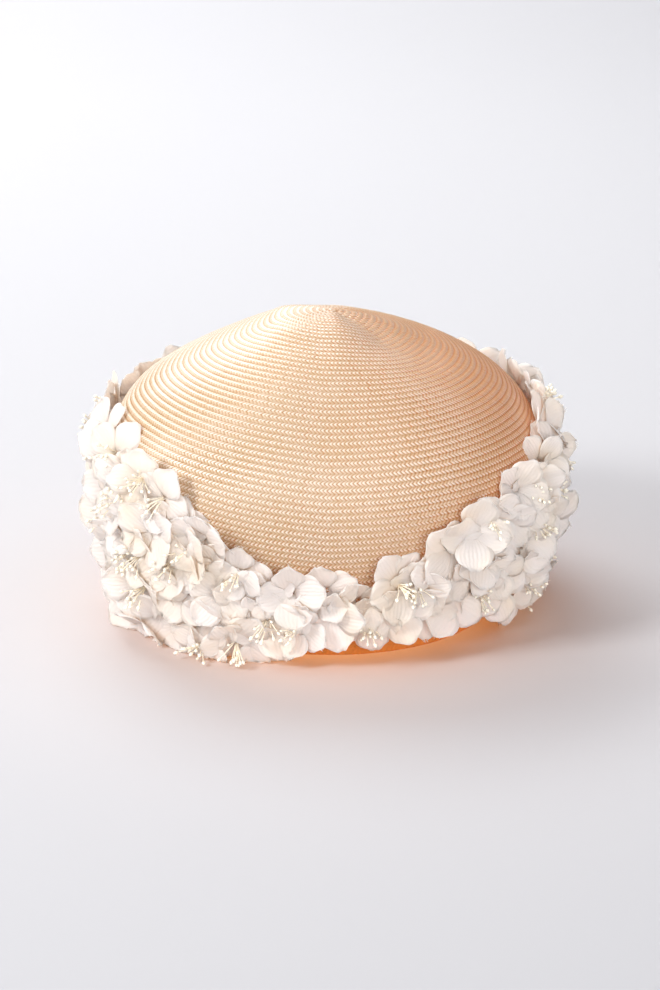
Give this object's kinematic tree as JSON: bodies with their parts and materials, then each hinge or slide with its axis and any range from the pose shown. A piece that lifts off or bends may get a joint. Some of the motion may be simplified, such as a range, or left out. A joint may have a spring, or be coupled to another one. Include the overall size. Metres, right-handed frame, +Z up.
{
  "type": "straw hat with cloth flowers",
  "caption": "Brimless blocked straw hat with a small squarish tip, a turned-in rim and a deep garland of cloth blossoms round its lower half.",
  "frame": {"origin": "middle of the outline, on the surface that the rim rests on", "axes": "+X towards the right of the pictured side, +Y away from the pictured side, +Z up"},
  "size_m": [0.2718, 0.2676, 0.163],
  "materials": {
    "straw": "satin, fine twill plait",
    "blossom_cloth": "matt, slightly translucent"
  },
  "bodies": {
    "root": {"blossom_low_01": "blossom_cloth", "blossom_low_02": "blossom_cloth", "blossom_low_03": "blossom_cloth", "blossom_low_04": "blossom_cloth", "blossom_low_05": "blossom_cloth", "blossom_low_06": "blossom_cloth", "blossom_low_07": "blossom_cloth", "blossom_low_08": "blossom_cloth", "blossom_low_09": "blossom_cloth", "blossom_low_10": "blossom_cloth", "blossom_low_11": "blossom_cloth", "blossom_low_12": "blossom_cloth", "blossom_low_13": "blossom_cloth", "blossom_low_14": "blossom_cloth", "blossom_low_15": "blossom_cloth", "blossom_low_16": "blossom_cloth", "blossom_low_17": "blossom_cloth", "blossom_low_18": "blossom_cloth", "blossom_low_19": "blossom_cloth", "blossom_low_20": "blossom_cloth", "blossom_mid_01": "blossom_cloth", "blossom_mid_02": "blossom_cloth", "blossom_mid_03": "blossom_cloth", "blossom_mid_04": "blossom_cloth", "blossom_mid_05": "blossom_cloth", "blossom_mid_06": "blossom_cloth", "blossom_mid_07": "blossom_cloth", "blossom_mid_08": "blossom_cloth", "blossom_mid_09": "blossom_cloth", "blossom_mid_10": "blossom_cloth", "blossom_mid_11": "blossom_cloth", "blossom_mid_12": "blossom_cloth", "blossom_mid_13": "blossom_cloth", "blossom_mid_14": "blossom_cloth", "blossom_mid_15": "blossom_cloth", "blossom_mid_16": "blossom_cloth", "blossom_top_01": "blossom_cloth", "blossom_top_02": "blossom_cloth", "blossom_top_03": "blossom_cloth", "blossom_top_04": "blossom_cloth", "blossom_top_05": "blossom_cloth", "blossom_top_06": "blossom_cloth", "blossom_top_07": "blossom_cloth", "blossom_top_08": "blossom_cloth", "blossom_top_09": "blossom_cloth", "blossom_top_10": "blossom_cloth", "blossom_top_11": "blossom_cloth", "blossom_top_12": "blossom_cloth", "blossom_top_13": "blossom_cloth", "crown": "straw"}
  },
  "joints": []
}
